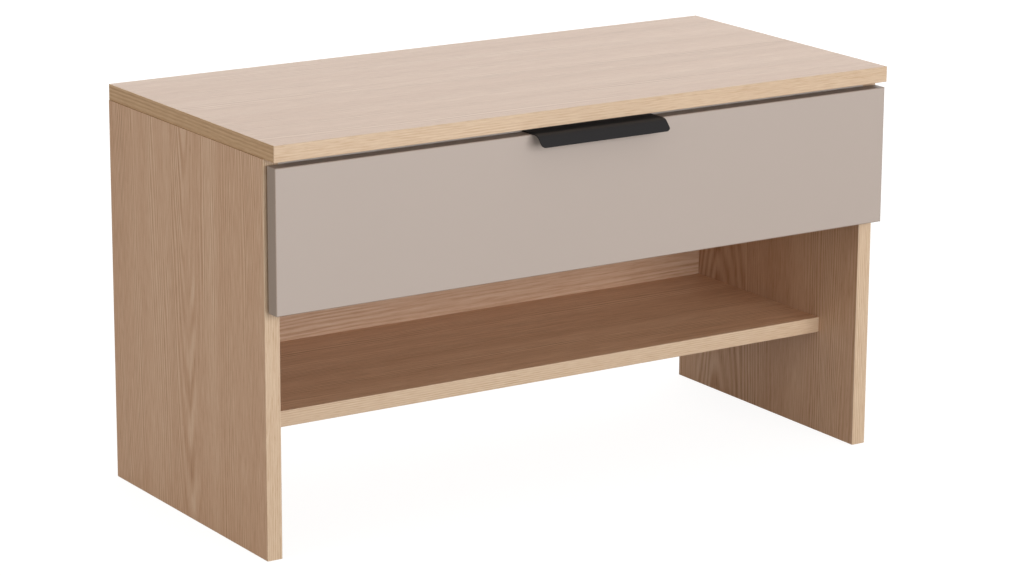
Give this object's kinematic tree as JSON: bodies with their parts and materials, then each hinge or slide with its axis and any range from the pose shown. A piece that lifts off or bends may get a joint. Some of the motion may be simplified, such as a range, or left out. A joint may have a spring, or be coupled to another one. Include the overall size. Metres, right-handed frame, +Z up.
{
  "type": "entryway bench",
  "caption": "Low entryway bench with light oak boards, an open shelf and one wide plain drawer with a black edge pull under the seat.",
  "frame": {"origin": "middle of the bench's outline on the floor, with the edge pull's lip counted in its depth", "axes": "+X to the right when facing the bench, along its length; the drawer front faces -Y; +Z up"},
  "size_m": [0.847, 0.4164, 0.48],
  "materials": {
    "oak_laminate": "matt light oak melamine laminate with fine straight grain",
    "oak_edge_band": "matt light oak edge band",
    "cashmere_laminate": "plain matt cashmere grey laminate",
    "cashmere_edge_band": "plain matt cashmere grey edge band",
    "drawer_box_laminate": "plain matt light grey laminate",
    "drawer_bottom_board": "matt light grey faced board",
    "black_powder_coat": "matt black powder coat",
    "galvanised_steel": "bright zinc plated sheet",
    "zinc_plated_steel": "zinc plated",
    "beech": "plain turned beech",
    "clear_rubber": "soft translucent pad"
  },
  "bodies": {
    "cabinet": {"back_panel": "oak_laminate", "cam_bolts": "zinc_plated_steel", "cam_locks": "zinc_plated_steel", "dowels": "beech", "front_rail": "cashmere_laminate", "runner_cabinet_left": "galvanised_steel", "runner_cabinet_right": "galvanised_steel", "runner_screws_cabinet": "zinc_plated_steel", "shelf_band_front": "oak_edge_band", "shelf_panel": "oak_laminate", "side_band_back_left": "oak_edge_band", "side_band_back_right": "oak_edge_band", "side_band_front_left": "oak_edge_band", "side_band_front_right": "oak_edge_band", "side_panel_left": "oak_laminate", "side_panel_right": "oak_laminate", "top_band_back": "oak_edge_band", "top_band_front": "oak_edge_band", "top_band_left": "oak_edge_band", "top_band_right": "oak_edge_band", "top_panel": "oak_laminate"},
    "drawer": {"drawer_bottom": "drawer_bottom_board", "drawer_box_back": "drawer_box_laminate", "drawer_box_front": "drawer_box_laminate", "drawer_box_screws": "zinc_plated_steel", "drawer_box_side_left": "drawer_box_laminate", "drawer_box_side_right": "drawer_box_laminate", "drawer_bumpers": "clear_rubber", "drawer_front_band_bottom": "cashmere_edge_band", "drawer_front_band_left": "cashmere_edge_band", "drawer_front_band_right": "cashmere_edge_band", "drawer_front_band_top": "cashmere_edge_band", "drawer_front_panel": "cashmere_laminate", "drawer_front_screws": "zinc_plated_steel", "handle": "black_powder_coat", "handle_screws": "zinc_plated_steel", "runner_drawer_left": "galvanised_steel", "runner_drawer_right": "galvanised_steel", "runner_screws_drawer": "zinc_plated_steel"},
    "runner_middle_left": {"runner_middle_left": "galvanised_steel"},
    "runner_middle_right": {"runner_middle_right": "galvanised_steel"}
  },
  "joints": [
    {"name": "drawer_slide", "type": "slide", "parent": "cabinet", "child": "drawer", "axis": [0, -1, 0], "range_m": [0, 0.3]},
    {"name": "runner_left_slide", "type": "slide", "parent": "cabinet", "child": "runner_middle_left", "axis": [0, -1, 0], "range_m": [0, 0.15]},
    {"name": "runner_right_slide", "type": "slide", "parent": "cabinet", "child": "runner_middle_right", "axis": [0, -1, 0], "range_m": [0, 0.15]}
  ],
  "couplings": [
    {"joint": "runner_left_slide", "follows": "drawer_slide", "ratio": 0.5},
    {"joint": "runner_right_slide", "follows": "drawer_slide", "ratio": 0.5}
  ]
}
